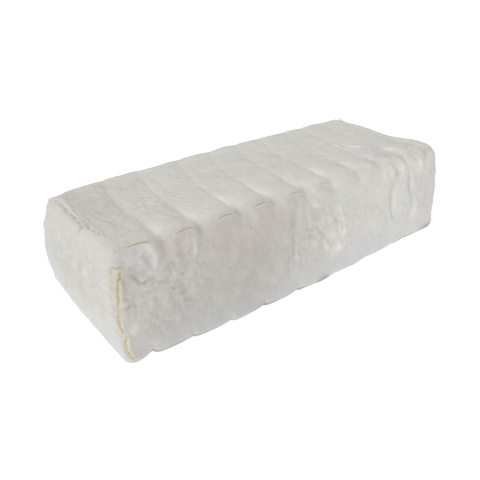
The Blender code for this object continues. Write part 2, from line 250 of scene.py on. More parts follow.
# Patches of each kind on the faces: the middle, how far it reaches each way in mm, and how strong it is.
# Leathery skin and small bumps are relief; the rest are tints, some of them painted shade and highlights
PATCHES = {
    "leathery": {
        "front": (
            (20, 26, 26, 26, 0.8), (44, 22, 14, 22, 0.5), (126, 30, 28, 24, 0.6), (208, 28, 30, 26, 0.5),
            (75, 30, 26, 24, 0.3), (165, 32, 18, 22, 0.3),
        ),
        "back": ((60, 28, 50, 26, 0.7), (170, 26, 46, 26, 0.7)),
        "near": ((30, 24, 40, 26, 0.8), (80, 24, 30, 26, 0.8)),
        "far": ((50, 28, 50, 26, 0.8),),
        "top": ((200, 16, 36, 22, 0.6), (100, 50, 130, 60, 0.4), (28, 48, 30, 44, 0.45)),
    },
    "pebbled": {
        "front": (
            (128, 30, 18, 20, 0.65), (106, 40, 5, 10, 0.6), (36, 26, 11, 18, 0.8), (30, 44, 14, 9, 0.5),
        ),
        "back": ((110, 34, 24, 20, 0.8),),
        "far": ((34, 30, 18, 16, 0.6),),
        "top": ((52, 34, 14, 14, 0.4), (20, 78, 16, 18, 0.4)),
        "near": ((38, 24, 26, 20, 0.45), (82, 36, 20, 18, 0.35)),
    },
    "blush": {
        "front": (
            (60, 14, 26, 16, 0.55), (84, 12, 20, 14, 0.5), (104, 8, 12, 10, 0.45), (34, 10, 12, 12, 0.6),
            (27, 5, 4, 7, 0.8), (160, 12, 12, 8, 0.25), (8, 24, 3, 12, 0.5),
        ),
        "top": (
            (188, 6, 12, 6, 0.8), (213, 9, 10, 7, 0.8), (229, 3, 4, 4, 0.8), (9, 82, 5, 11, 0.9),
            (3, 11, 5, 6, 0.7), (12, 70, 5, 20, 0.6),
        ),
        "near": ((60, 2, 26, 4, 0.5), (10, 7, 7, 5, 0.6)),
    },
    # Painted shade: broad darker patches on the front's middle and far end, the near part of the top and the
    # near end
    "worn": {
        "front": ((78, 32, 38, 40, 1), (226, 26, 16, 36, 0.5), (30, 50, 34, 16, 0.5)),
        "top": ((100, 50, 50, 40, 0.1), (14, 60, 22, 60, 0.55)),
        "near": ((60, 30, 60, 40, 0.25),),
    },
    "mossy": {
        "front": ((58, 22, 8, 16, 0.5), (122, 16, 2.5, 9, 0.8), (36, 22, 9, 10, 0.5), (6, 20, 3, 8, 0.5)),
        "near": ((50, 26, 12, 12, 0.5), (26, 36, 10, 9, 0.5), (78, 18, 8, 12, 0.35)),
        "top": ((40, 80, 22, 14, 0.4), (120, 44, 30, 16, 0.35), (170, 60, 30, 24, 0.3)),
    },
    "straw": {
        "front": ((119.5, 1.6, 3.2, 1.6, 1), (100, 2, 6, 3, 0.25), (208, 6, 3, 4, 0.4)),
        "top": ((97, 5, 6, 3, 0.4), (142, 5, 7, 3.5, 0.6), (20, 96, 10, 5, 0.4)),
        "near": ((44, 1, 7, 2.5, 0.5),),
    },
    "cool": {
        "front": (
            (214, 36, 20, 18, 0.5), (178, 50, 24, 8, 0.6), (110, 55, 60, 7, 0.6), (40, 56, 30, 7, 0.5),
            (12, 14, 6, 7, 0.15), (26, 20, 9, 9, 0.25),
        ),
        "near": ((78, 34, 18, 22, 0.6), (10, 46, 12, 10, 0.5), (52, 54, 50, 12, 0.6)),
        "top": ((196, 22, 10, 7, 0.6),),
    },
    "shaded": {
        "top": ((239, 13, 3, 12, 2.2), (6, 96, 8, 7, 0.3)),
        "front": ((233, 1.5, 5, 2.2, 0.45), (236, 61, 9, 3.5, 3), (128, 61, 4.5, 3, 3), (84, 61, 5, 2.5, 2)),
        "far": ((2.5, 24, 2.4, 30, 0.7), (2.5, 60, 5, 5, 3)),
    },
    # Painted highlights on ridges of the sides and on the far flanks of the mat marks on top
    "white": {
        "front": (
            (145, 31, 3.5, 11, 0.5), (140, 43, 5, 5, 0.6), (137, 33, 4, 4, 0.5), (21, 3, 4, 3, 0.5),
            (24, 11, 1.6, 6, 0.35), (45.5, 12, 1.4, 9, 0.3), (42, 33, 2.4, 5, 0.15), (9, 40, 4, 5, 0.5),
            (218, 9, 4, 6, 0.35), (214, 42, 4, 7, 0.35), (197, 27, 4, 9, 0.4), (125, 12, 3, 2, 0.5),
        ),
        "top": (
            (28, 8, 3, 6, 0.5), (49, 12, 3, 7, 0.5), (72, 16, 2.5, 9, 0.6), (95, 14, 3, 8, 0.6),
            (117, 12, 3, 8, 0.6), (139, 15, 4, 8, 0.6), (162, 9, 4, 5, 0.5), (206, 14, 6, 6, 0.5),
            (4.5, 66, 1.2, 22, 0.5),
        ),
        "back": ((84, 30, 5, 12, 0.5), (208, 22, 5, 12, 0.5)),
    },
    "golden": {
        "top": (
            (1.6, 38.5, 1.2, 1.5, 0.8), (2.8, 33.5, 1, 1.5, 0.45), (4.6, 38, 0.8, 4, 0.4),
            (229, 3, 3.2, 3, 0.15),
        ),
        "front": ((195.5, 10.5, 1.8, 2.6, 0.35),),
    },
}

# Cracks that show the paste under the rind, on each face: how wide open, then a path in mm as for a fold.
# A number under 0 runs over the edge onto the next face
CRACKS = {
    "top": (
        (1.0, ((9.5, 0.2), (13, 0.7), (17, 0.6), (20, -0.2), (22.5, -1.4))),
        (0.4, ((2.5, -0.5), (5, 0), (7, -0.6))),
        (0.8, ((36.5, -1.4), (39, -1.3), (41, -0.5), (44, 0), (47, -0.6))),
        (0.9, ((60, -1.4), (63, -0.6), (66, 0.2), (70, -0.3))),
        (0.5, ((72.5, -0.5), (73, -2.5))),
        (0.8, ((83.5, -0.8), (88, -0.1), (93.5, 0.4))),
        (0.8, ((108, -0.3), (112, -0.2), (116, -0.7), (119.5, -0.5))),
        (0.4, ((131, -0.6), (136, -1.0), (140, -1.0))),
        (0.3, ((156, -0.4), (162, -0.9))),
    ),
}

# The long split down the near front edge, and the crumpled lines along the ends' top edges, in the same form
SEAM = {
    "front": (
        (0.9, ((-0.4, 8.2), (2.0, 8.0), (4.0, 8.4), (5.8, 8.2), (7.2, 8.8))),
        (1.0, ((5.4, 8.6), (5.8, 11), (4.6, 14), (3.8, 17), (3.6, 19), (3.4, 22), (3.1, 26), (2.4, 29))),
        (0.9, ((2.4, 29), (1.8, 33), (1.2, 37), (2.4, 42))),
        (0.5, ((0.4, 9), (0.0, 12), (0.8, 15.5), (3.2, 18))),
        (0.4, ((0.2, 30), (2.2, 31), (4.0, 30.4))),
        (0.4, ((0.0, 33.4), (2.2, 34), (3.6, 33.2))),
        (1.1, ((3.8, 43.5), (2.6, 46), (1.4, 50), (1.6, 53), (3.4, 57))),
    ),
}
WRINKLES = {
    "near": (
        (1, ((37, -1.4), (44, -2), (50, -2.6), (57, -2.6), (63, -2.8), (70, -3.2), (78, -3.2), (89, -2.8))),
        (0.9, ((18, -4.6), (26, -4.3), (31.4, -3.7), (37.3, -4), (42, -4.2), (47, -4.6))),
    ),
    "far": ((0.35, ((26, -1.2), (16, -0.8), (6, -0.6))),),
}

# Each kind of line: its paths, the half width and the depth of its slit, the height of the lip beside it, how
# far it wanders, and the size of its turns
LINES = {
    "crack": (CRACKS, 0.6 * MM, 0.45 * MM, 0.2 * MM, 0.8 * MM, 3.0 * MM),
    "seam": (SEAM, 0.9 * MM, 0.5 * MM, 0.4 * MM, 1.6 * MM, 2.2 * MM),
    "wrinkle": (WRINKLES, 0.8 * MM, 0.7 * MM, 0.5 * MM, 1.5 * MM, 3.2 * MM),
}

# How far from a line its lips are, in half widths of the slit
LIP_PLACE = 1.7

# The sizes that the relief is given: how far apart the mats' bars are, and the rind's uneven thickness
RELIEF_SIZES = {
    "Bar Pitch": 22 * MM,
    "Lump Size": 26 * MM,
    "Lump Height": 1.5 * MM,
    "Ripple Size": 9 * MM,
    "Ripple Height": 1.6 * MM,
}

# The ripples are lower on top, and the base is pressed flat
RIPPLE_SHARE_ON_TOP = 0.4
BASE_START = -0.3
BASE_FULL = -0.9

# The skin: crossing creases of two sizes, small bumps, and the fine roughness that is everywhere
CREASE_SIZES = (7.5 * MM, 3.6 * MM)
CREASE_DEPTHS = (0.65 * MM, 0.4 * MM)
CREASE_REACH = 0.05
CREASE_WARP = 3 * MM
PEBBLE_SIZE = 3.4 * MM
PEBBLE_HEIGHT = 1.4 * MM
PEBBLE_MIDDLE = 0.4
ROUGH_SIZE = 2.6 * MM
ROUGH_HEIGHT = 0.34 * MM
ROUGHER_LEATHER = 1.2
SMOOTHER_TOP = 0.6

# The mat's cloth leaves faint streaks across the top
STREAK_SIZE = 2.0 * MM
STREAK_LENGTH = 22 * MM
STREAK_TILT = 0.4
STREAK_HEIGHT = 0.3 * MM

# Noise lies around its middle, and mostly within this range
NOISE_MIDDLE = 0.5
NOISE_RANGE = (0.35, 0.65)

# The mould's colour, then the blotches over it: size, detail, how strong, and the colour
MOULD_COLOUR = "#E9E8E4"
BLOTCHES = (
    (15 * MM, 2.0, 0.6, "#DAD7D0"),
    (9 * MM, 2.0, 0.4, "#E2D9D5"),
    (7 * MM, 2.0, 0.4, "#DADED5"),
    (3.4 * MM, 3.0, 0.22, "#CFCBC1"),
    (1.6 * MM, 2.0, 0.16, "#F2F1ED"),
)

# Painted highlight on ridges and painted shade in folds, by the depth of the relief
# On ridges and in folds: the depth where the colour starts and where it is full, how strong, and the colour
RIDGE_HIGHLIGHT_AND_FOLD_SHADE = (
    (-0.1 * MM, -0.9 * MM, 0.7, "#F6F5F2"),
    (0.1 * MM, 1.1 * MM, 0.5, "#C6C1B6"),
)

# The tint of each kind of patch: how strong, and the colour. The mould's growth breaks the patches up
TINTS = {
    # Painted shade
    "worn": (0.9, "#C9C5BE"),
    "cool": (0.6, "#D4D9E3"),
    "mossy": (0.6, "#D0D2C2"),
    "blush": (0.6, "#D9CCC6"),
    "straw": (0.7, "#E2DFC6"),
    "shaded": (0.8, "#9E9B98"),
    # Painted highlights
    "white": (0.8, "#F7F6F3"),
    "golden": (1.0, "#C2A26E"),
}
GROWTH_SIZE = 8 * MM
GROWTH_RANGE = (0.35, 0.6)
LEAST_GROWTH = 0.6

# Painted shadow along the foot of the sides, where the loaf meets the floor: the heights where it starts to
# fade and ends, how strong, and the colour
FOOT_PAINTED_SHADOW = (1.2 * MM, 4.0 * MM, 0.6, "#7F7E83")

# A pinhole in the top: its middle, then how far out the painted shade in it starts to fade and ends, how
# strong, and the colour
PINHOLE = (37.5 * MM, 38 * MM, HEIGHT)
PINHOLE_PAINTED_SHADE = (0.4 * MM, 0.9 * MM, 0.8, "#5C564A")

# How each kind of line looks: how far the stain beside it reaches, how strong, and its colour, then the same
# for the dark line itself, the size of the gaps in it, and how much of it they take away
# A wrinkle's dark line is painted shade in its crease; a crack's is paste colour with painted slit shade
LINE_LOOKS = {
    "crack": ((2.2 * MM, 0.8, "#E8E2CC"), (0.32 * MM, 0.75, "#B5A37F"), 3 * MM, 0.0),
    "seam": ((3.0 * MM, 0.85, "#E6DCC2"), (0.6 * MM, 0.5, "#BB9D72"), 1.3 * MM, 0.9),
    "wrinkle": ((3.2 * MM, 0.45, "#D6CCC5"), (0.7 * MM, 0.5, "#A39586"), 2.2 * MM, 1.0),
}

# A dark line is full up to the first share of its reach, and gone at the second. Its gaps are where their
# noise is low, and close over this range
LINE_FADES = (0.4, 1.4)
GAP_RANGE = (0.42, 0.56)

# The felt of fine mould threads, and the small wrinkles under it: size, height and detail. Real threads are
# too fine to show, so these are drawn coarser
FELT = (
    (1.1 * MM, 0.15 * MM, 2.0),
    (2.6 * MM, 0.34 * MM, 3.0),
)

# Mesh lines in each direction: up to each place in mm, the step in mm. The flattest faces are thinned later
LINES_ALONG = ((8, 0.5), (232, 0.85), (240, 0.6))
LINES_ACROSS = ((8, 0.6), (101, 1.05), (104, 0.75))
LINES_UP = ((50, 0.85), (62, 0.55))
FACES_KEPT = 0.74

# A curled flake of rind at the far back corner of the top: its foot and tip in mm, how wide and thick its
# foot is, and how much of that is gone at the tip
FLAKE_FOOT = (236.0, 86.0, 59.5)
FLAKE_TIP = (238.5, 99.0, 62.3)
FLAKE_WIDTH = 4.5
FLAKE_THICKNESS = 1.4
FLAKE_TAPER = 0.95
FLAKE_RINGS = 6
FLAKE_SIDES = 8

# The view of the photograph: how far round and above, the turn of the picture, and the lens
VIEW_AROUND = -35.574
VIEW_ABOVE = 28.416
VIEW_ROLL = -1.355
VIEW_DISTANCE = 362.555 * MM
VIEW_TARGET = (0, 0, 30 * MM)
VIEW_SIDEWAYS = 8.418 * MM
VIEW_UPWARDS = 18.037 * MM
PICTURE_SIDE = 480
FOCAL_LENGTH_IN_PIXELS = 559.19
SENSOR_WIDTH = 36

# The studio: the room's even light, the floor's own glow, then each light's place in metres, its strength
# and its spread, in degrees for a far one or in metres for a near one
WHITE = "#FFFFFF"
ROOM_LIGHT = 0.05
FLOOR_COLOUR = "#747474"
FLOOR_GLOW = 0.97
FLOOR_REACH = 4.0
FLOOR_LEVEL = -0.02 * MM
LIGHTS = (
    ("near_end_light", "SUN", (-1, -0.17, 0.27), 0.95, 20),
    ("back_light", "SUN", (0, 0.8, 0.6), 0.36, 50),
    ("top_light", "SUN", (0, 0, 1), 1.95, 60),
    ("far_front_light", "AREA", (0.16, -0.27, 0.05), 0.117, 0.12),
)


def smooth(start, end, value):
    """0 before start, 1 after end, with a soft ramp between."""
    share = np.clip((value - start) / (end - start), 0, 1)
    return share * share * (3 - 2 * share)


def mix(first, second, share):
    return first + (second - first) * share


def arch(share):
    """0 at both ends, and 1 in the middle."""
    return 4 * share * (1 - share)


def mesh_lines(stretches):
    """The places of the mesh lines in one direction."""
    places = [0.0]
    for end, step in stretches:
        steps = math.ceil((end - places[-1]) / step)
        places.extend(np.linspace(places[-1], end, steps + 1)[1:])
    return np.array(places) * MM


def square_block():
    """The block's skin before it is rounded: its points, and four-sided faces that look outwards."""
    lines = [mesh_lines(stretches) for stretches in (LINES_ALONG, LINES_ACROSS, LINES_UP)]
    counts = [len(places) for places in lines]
    strides = np.array((1, counts[0], counts[0] * counts[1]))
    faces = []
    for axis in range(3):
        first, second = (axis + 1) % 3, (axis + 2) % 3
        for end in (0, counts[axis] - 1):
            steps = np.zeros((counts[first], counts[second], 3), int)
            steps[..., axis] = end
            steps[..., first] = np.arange(counts[first])[:, None]
            steps[..., second] = np.arange(counts[second])
            keys = steps @ strides
            face = np.stack((keys[:-1, :-1], keys[1:, :-1], keys[1:, 1:], keys[:-1, 1:]), -1)
            faces.append(face.reshape(-1, 4)[:, :: 1 if end else -1])
    keys, faces = np.unique(np.concatenate(faces), return_inverse=True)
    steps = (keys % counts[0], keys // counts[0] % counts[1], keys // strides[2])
    return np.stack([lines[axis][steps[axis]] for axis in range(3)], -1), faces.reshape(-1, 4)


def round_edges(place):
    """Points of the square block moved onto the block with round edges, and the way they face there."""
    size = np.array((LENGTH, WIDTH, HEIGHT))
    top_radius = mix(NEAR_TOP_EDGE_RADIUS, TOP_EDGE_RADIUS, smooth(0, NEAR_EDGE_REACH, place[:, :1]))
    radius = mix(BASE_EDGE_RADIUS, top_radius, smooth(0, HEIGHT, place[:, 2:]))
    core = np.clip(place, radius, size - radius)
    facing = place - core
    facing /= np.linalg.norm(facing, axis=1, keepdims=True)
    return core + facing * radius, facing


def settle(place):
    """How far points have moved as the soft block settled: its corners shift and its faces swell."""
    along, across, up = (place / (LENGTH, WIDTH, HEIGHT)).T
    moved = np.zeros_like(place)
    for (end, side, level), shift in CORNER_SHIFTS.items():
        share = along if end == "far" else 1 - along
        share = share * (across if side == "back" else 1 - across)
        share = share * (up if level == "top" else 1 - up)
        moved += share[:, None] * shift * MM
    to_end = 2 * along - 1
    to_side = 2 * across - 1
    end_swell = mix(NEAR_END_SWELL, FAR_END_SWELL, along)
    edge_share = mix(NEAR_EDGE_SHARE, FAR_EDGE_SHARE, along)
    side_swell = mix(FRONT_SWELL, BACK_SWELL, across)
    foot = FOOT_SPREAD * (1 - up) ** 2 * mix(1, FAR_FOOT_SHARE, smooth(*FAR_FOOT_STRETCH, along))
    moved[:, 0] += end_swell * to_end * mix(edge_share, 1, arch(across)) * arch(up)
    moved[:, 0] += BAR_BOW * across**2 * arch(along)
    moved[:, 1] += (side_swell * arch(up) + foot * abs(to_side)) * to_side * arch(along)
    moved[:, 2] += TOP_SWELL * up * arch(along) * mix(TOP_EDGE_SHARE, 1, arch(across))
    return moved


def on_faces(place, facing):
    """For each face: how squarely every point belongs to it, and the point's two numbers there in mm."""
    along, across, up = place.T / MM
    drop = HEIGHT / MM - up
    faces = {
        "front": (-facing[:, 1], along, drop),
        "back": (facing[:, 1], along, drop),
        "near": (-facing[:, 0], across, drop),
        "far": (facing[:, 0], across, drop),
        "top": (facing[:, 2], along, across),
    }
    return {
        face: (smooth(FACE_START, FACE_FULL, squareness), np.stack((first, second), -1))
        for face, (squareness, first, second) in faces.items()
    }


def cut_corners(path):
    """The path with its corners cut, so that it bends softly."""
    path = np.array(path, float)
    quarter = mix(path[:-1], path[1:], 0.25)
    rest = mix(path[:-1], path[1:], 0.75)
    middle = np.stack((quarter, rest), 1).reshape(-1, path.shape[1])
    return np.concatenate((path[:1], middle, path[-1:]))


def distance_to_path(points, path):
    """How far each point is from a path, and what share of the path lies before its nearest place."""
    runs = np.diff(path, axis=0)
    lengths = np.linalg.norm(runs, axis=1)
    nearest = np.full(len(points), np.inf)
    passed = np.zeros(len(points))
    for number, (start, run) in enumerate(zip(path, runs)):
        share = np.clip((points - start) @ run / (run @ run), 0, 1)
        away = np.linalg.norm(points - start - share[:, None] * run, axis=1)
        closer = away < nearest
        nearest[closer] = away[closer]
        passed[closer] = (lengths[:number].sum() + share[closer] * lengths[number]) / lengths.sum()
    return nearest, passed


def tapered(share):
    """1 in the middle of a line, and softly 0 towards its ends."""
    return np.sin(np.pi * share) ** 0.5


def folded(faces):
    """Depth of the folds of each face's rind, and of its hollows. A fold is sharp, and a ridge is round."""
    folds = np.zeros(len(faces["top"][0]))
    hollows = np.zeros_like(folds)
    for face, (share, points) in faces.items():
        there = np.flatnonzero(share)
        points = points[there]
        share = share[there]
        for depth, half_width, path in FOLDS[face]:
            away, passed = distance_to_path(points, cut_corners(path))
            sharpness = CREASE_POINT if 0 < depth and half_width < SOFT_FOLD else 2
            taper = tapered(np.clip(passed, FOLD_END, 1 - FOLD_END))
            folds[there] += share * depth * taper * np.exp(-((away / half_width) ** sharpness))
        for first, second, radius, depth in HOLLOWS[face]:
            away = np.linalg.norm(points - (first, second), axis=1)
            hollows[there] += share * depth * np.exp(-((away / radius) ** 2))
    return folds * MM, hollows * MM


def patched(patches, faces):
    """How strongly each point is in the patches of one kind, from 0 to 1."""
    strength = np.zeros(len(faces["top"][0]))
    for face, on_face in patches.items():
        share, points = faces[face]
        for first, second, reach_first, reach_second, strongest in on_face:
            away = (points - (first, second)) / (reach_first, reach_second)
            strength += share * strongest * np.exp(-(away**2).sum(axis=1))
    return np.minimum(strength, 1)


def on_block(face, first, second):
    """A place on the square block from a face's two numbers in mm. One under 0 is on the next face."""
    normal, level, inwards = {
        "near": (0, 0, 1),
        "far": (0, LENGTH / MM, -1),
        "front": (1, 0, 1),
        "back": (1, WIDTH / MM, -1),
        "top": (2, 0, 1),
    }[face]
    place = [first, second]
    place.insert(normal, level)
    for axis in range(3):
        if axis != normal and place[axis] < 0:
            place[normal] -= inwards * place[axis]
            place[axis] = 0
    along, across, drop = place
    return along * MM, across * MM, HEIGHT - drop * MM


def guide_lines(name, lines, shift):
    """Thin lines over the block that one kind of split or wrinkle follows, and how wide open it is there."""
    points, edges, openings = [], [], []
    for face, on_face in lines.items():
        for opening, path in on_face:
            path = cut_corners(cut_corners(path))
            place, _ = round_edges(np.array([on_block(face, *pair) for pair in path]))
            place = place + settle(place) + shift
            share = np.linspace(LINE_END, 1 - LINE_END, len(place))
            edges.extend((len(points) + i, len(points) + i + 1) for i in range(len(place) - 1))
            points.extend(place)
            openings.extend(opening * tapered(share))
    mesh = bpy.data.meshes.new(name)
    mesh.from_pydata(points, edges, [])
    mesh.attributes.new("opening", "FLOAT", "POINT").data.foreach_set("value", openings)
    return bpy.data.objects.new(name, mesh)


def curled_flake():
    """A thin flake that curls off the rind: its points on the block, and faces that look outwards."""
    start = np.array(FLAKE_FOOT)
    run = np.array(FLAKE_TIP) - start
    sideways = np.cross(run, (0, 0, 1))
    sideways /= np.linalg.norm(sideways)
    upwards = np.cross(sideways, run)
    upwards /= np.linalg.norm(upwards)
    turn = np.linspace(0, 2 * np.pi, FLAKE_SIDES, endpoint=False)[:, None]
    oval = (np.cos(turn) * FLAKE_WIDTH * sideways + np.sin(turn) * FLAKE_THICKNESS * upwards) / 2
    share = np.linspace(0, 1, FLAKE_RINGS)[:, None, None]
    rings = start + share * run + share**2 * FLAKE_THICKNESS * upwards + (1 - FLAKE_TAPER * share) * oval
    number = np.arange(FLAKE_SIDES)
    following = (number + 1) % FLAKE_SIDES
    faces = [list(number[::-1]), list(number + (FLAKE_RINGS - 1) * FLAKE_SIDES)]
    for here in range(0, (FLAKE_RINGS - 1) * FLAKE_SIDES, FLAKE_SIDES):
        ring = np.stack((number, following, following + FLAKE_SIDES, number + FLAKE_SIDES), -1)
        faces.extend((ring + here).tolist())
    return rings.reshape(-1, 3) * MM, faces


def feed(node, feeds):
    """Gives a node its inputs, in order or by name: other nodes, their outputs or plain values."""
    for place, source in feeds.items() if isinstance(feeds, dict) else enumerate(feeds):
        if isinstance(source, bpy.types.Node):
            source = next(output for output in source.outputs if output.enabled)
        if isinstance(source, bpy.types.NodeSocket):
            node.id_data.links.new(source, node.inputs[place])
        elif source is not None:
            node.inputs[place].default_value = source


def add(tree, kind, feeds=(), **settings):
    """Adds one node with its settings and its inputs. Its kind may bring settings of its own."""
    kind, own_settings = kind if isinstance(kind, tuple) else (kind, {})
    node = tree.nodes.new(kind)
    for name, value in (own_settings | settings).items():
        setattr(node, name, value)
    feed(node, feeds)
    return node


MATH = "ShaderNodeMath"
PLUS = (MATH, {"operation": "ADD"})
MINUS = (MATH, {"operation": "SUBTRACT"})
TIMES = (MATH, {"operation": "MULTIPLY"})
TIMES_PLUS = (MATH, {"operation": "MULTIPLY_ADD"})
OVER = (MATH, {"operation": "DIVIDE"})
VECTOR_MATH = "ShaderNodeVectorMath"
PARTS = "ShaderNodeSeparateXYZ"
RANGE = "ShaderNodeMapRange"
SOFT_RANGE = (RANGE, {"interpolation_type": "SMOOTHSTEP"})
NOISE = "ShaderNodeTexNoise"
GROUP = "GeometryNodeGroup"
STORED = "GeometryNodeInputNamedAttribute"
PAINTED = "ShaderNodeAttribute"
MIX = "ShaderNodeMix"

# The places of a Mix node's two colours, whose names its numbers have too
MIX_UNDER = 6
MIX_OVER = 7


def new_tree(name, inputs, outputs):
    """A tree of geometry nodes with these named sockets, what it is given, and the node for its results."""
    tree = bpy.data.node_groups.new(name, "GeometryNodeTree")
    for way, sockets in (("INPUT", inputs), ("OUTPUT", outputs)):
        for label, kind in sockets.items():
            tree.interface.new_socket(label, in_out=way, socket_type="NodeSocket" + kind)
    return tree, add(tree, "NodeGroupInput").outputs, add(tree, "NodeGroupOutput")


def fading(tree, distance, reach, power=2):
    """1 at no distance and softly less further out, with a little over a third left at the reach."""
    share = add(tree, OVER, (distance, reach))
    share = add(tree, MATH, (share,), operation="ABSOLUTE")
    raised = add(tree, MATH, (share, power), operation="POWER")
    minus = add(tree, TIMES, (raised, -1))
    return add(tree, MATH, (minus,), operation="EXPONENT")


def wandered(tree, place, size, reach):
    """A place moved aside by a soft noise of the given size."""
    often = add(tree, OVER, (1, size))
    noise = add(tree, NOISE, {"Vector": place, "Scale": often, "Detail": 2.0, "Roughness": 0.6})
    middle = (NOISE_MIDDLE,) * 3
    aside = add(tree, VECTOR_MATH, (noise.outputs["Color"], middle), operation="SUBTRACT")
    aside = add(tree, VECTOR_MATH, {"Vector": aside, "Scale": reach}, operation="SCALE")
    return add(tree, VECTOR_MATH, (place, aside), operation="ADD")


def uneven(tree, place, often, height, detail):
    """The rises and dips of a noise."""
    noise = add(tree, NOISE, {"Vector": place, "Scale": often, "Detail": detail})
    from_middle = add(tree, MINUS, (noise, NOISE_MIDDLE))
    return add(tree, TIMES, (from_middle, height))


def layered(tree, lowest, *layers):
    """The depths of several layers together."""
    for layer in layers:
        lowest = add(tree, PLUS, (lowest, layer))
    return lowest


def stepped(tree, turn, values):
    """One value for each bar, read by the bar's number."""
    share = add(tree, OVER, (turn, len(values) - 1))
    reader = add(tree, "ShaderNodeFloatCurve", {"Value": share})
    curve = reader.mapping.curves[0]
    reader.mapping.clip_min_y, reader.mapping.clip_max_y = min(values) - 1, max(values) + 1
    while len(curve.points) < len(values):
        curve.points.new(0.5, 0)
    for number, value in enumerate(values):
        curve.points[number].location = (number / (len(values) - 1), value)
        curve.points[number].handle_type = "VECTOR"
    reader.mapping.update()
    return reader


def mat_marks(name):
    """Depth of one mat's marks. A bar presses a groove with one steep flank, deeper where it meets the side.
    The cheese between two bars stands a little proud."""
    sizes = (
        "Pitch", "First Bar", "Pillow", "Mark Depth", "Front Notch", "Back Notch", "Half Width", "Flare",
        "Near Flank", "Pointedness",
    )
    inputs = {"Place": "Vector"} | dict.fromkeys(sizes, "Float")
    tree, given, result = new_tree(name, inputs, {"Depth": "Float"})
    place = wandered(tree, given["Place"], BAR_WANDER_SIZE, BAR_WANDER)
    along = add(tree, PARTS, (place,)).outputs["X"]
    across = add(tree, PARTS, (given["Place"],)).outputs["Y"]
    front = fading(tree, across, FLARE_REACH)
    back = fading(tree, add(tree, MINUS, (across, WIDTH)), FLARE_REACH)
    lean = add(tree, RANGE, (across, LEAN_START, WIDTH, 0, 1))
    lean = add(tree, MATH, (lean, 2), operation="POWER")
    lean = add(tree, TIMES, (lean, BAR_LEAN))
    share = add(tree, RANGE, (along, *LEAN_SPREAD, NEAR_LEAN_SHARE, 1))
    lean = add(tree, TIMES, (lean, share))
    drift = add(tree, TIMES_PLUS, (front, FLARE_DRIFT, lean))
    drifted = add(tree, MINUS, (along, drift))
    from_first = add(tree, MINUS, (drifted, given["First Bar"]))
    turns = add(tree, OVER, (from_first, given["Pitch"]))
    rounded = add(tree, MATH, (turns,), operation="ROUND")
    bar = add(tree, "ShaderNodeClamp", (rounded, 0, BAR_COUNT - 1))
    stray = add(tree, TIMES, (stepped(tree, bar, STRAYS[name]), MM))
    from_turn = add(tree, MINUS, (turns, bar))
    from_even = add(tree, TIMES, (from_turn, given["Pitch"]))
    from_bar = add(tree, MINUS, (from_even, stray))

    both = add(tree, PLUS, (front, back))
    half_width = add(tree, TIMES_PLUS, (both, given["Flare"], given["Half Width"]))
    beyond = add(tree, MATH, (from_bar, 0), operation="GREATER_THAN")
    flank = add(tree, MIX, {"Factor": beyond, "A": given["Near Flank"], "B": 1.0})
    reach = add(tree, TIMES, (half_width, flank))
    groove = fading(tree, from_bar, reach, given["Pointedness"])
    deepest = add(tree, TIMES_PLUS, (front, given["Front Notch"], given["Mark Depth"]))
    deepest = add(tree, TIMES_PLUS, (back, given["Back Notch"], deepest))
    mark = add(tree, TIMES, (deepest, groove))

    span = add(tree, MATH, (from_bar,), operation="ABSOLUTE")
    span = add(tree, OVER, (span, given["Pitch"]))
    span = add(tree, MATH, (span, 0.5), operation="MINIMUM")
    to_middle = add(tree, TIMES_PLUS, (span, -2, 1))
    below_pillow = add(tree, TIMES, (to_middle, to_middle))
    depth = add(tree, TIMES_PLUS, (below_pillow, given["Pillow"], mark))
    limits = (across, FRONT_PART, BACK_PART, 1, PRESSED_AT_BACK)
    held = add(tree, SOFT_RANGE, limits)
    pressed = add(tree, TIMES, (held, stepped(tree, bar, PRESSURES[name])))
    feed(result, (add(tree, TIMES, (depth, pressed)),))
    return tree


def slits():
    """Depth of the slits along a set of lines, how far each point is from them, and how open they are."""
    sizes = ("Half Width", "Slit Depth", "Lip Height", "Wander", "Wander Size")
    inputs = {"Lines": "Object"} | dict.fromkeys(sizes, "Float")
    outputs = dict.fromkeys(("Depth", "Away", "Opening"), "Float")
    tree, given, result = new_tree("Slits along lines", inputs, outputs)
    place = wandered(tree, add(tree, "GeometryNodeInputPosition"), given["Wander Size"], given["Wander"])
    lines = add(tree, "GeometryNodeObjectInfo", {"Object": given["Lines"]}).outputs["Geometry"]
    feeds = {"Target": lines, "Sample Position": place}
    away = add(tree, "GeometryNodeProximity", feeds, target_element="EDGES").outputs["Distance"]
    feeds = {"Geometry": lines, "Sample Position": place}
    nearest = add(tree, "GeometryNodeSampleNearest", feeds, domain="POINT")
    opening = add(tree, STORED, {"Name": "opening"}, data_type="FLOAT")
    feeds = {"Geometry": lines, "Value": opening, "Index": nearest}
    opening = add(tree, "GeometryNodeSampleIndex", feeds, data_type="FLOAT")
    half_width = add(tree, TIMES, (given["Half Width"], opening))
    from_lip = add(tree, TIMES_PLUS, (half_width, -LIP_PLACE, away))
    slit = add(tree, TIMES, (fading(tree, away, half_width), given["Slit Depth"]))
    lip = add(tree, TIMES, (fading(tree, from_lip, half_width), given["Lip Height"]))
    depth = add(tree, MINUS, (slit, lip))
    feed(result, (add(tree, TIMES, (depth, opening)), away, opening))
    return tree


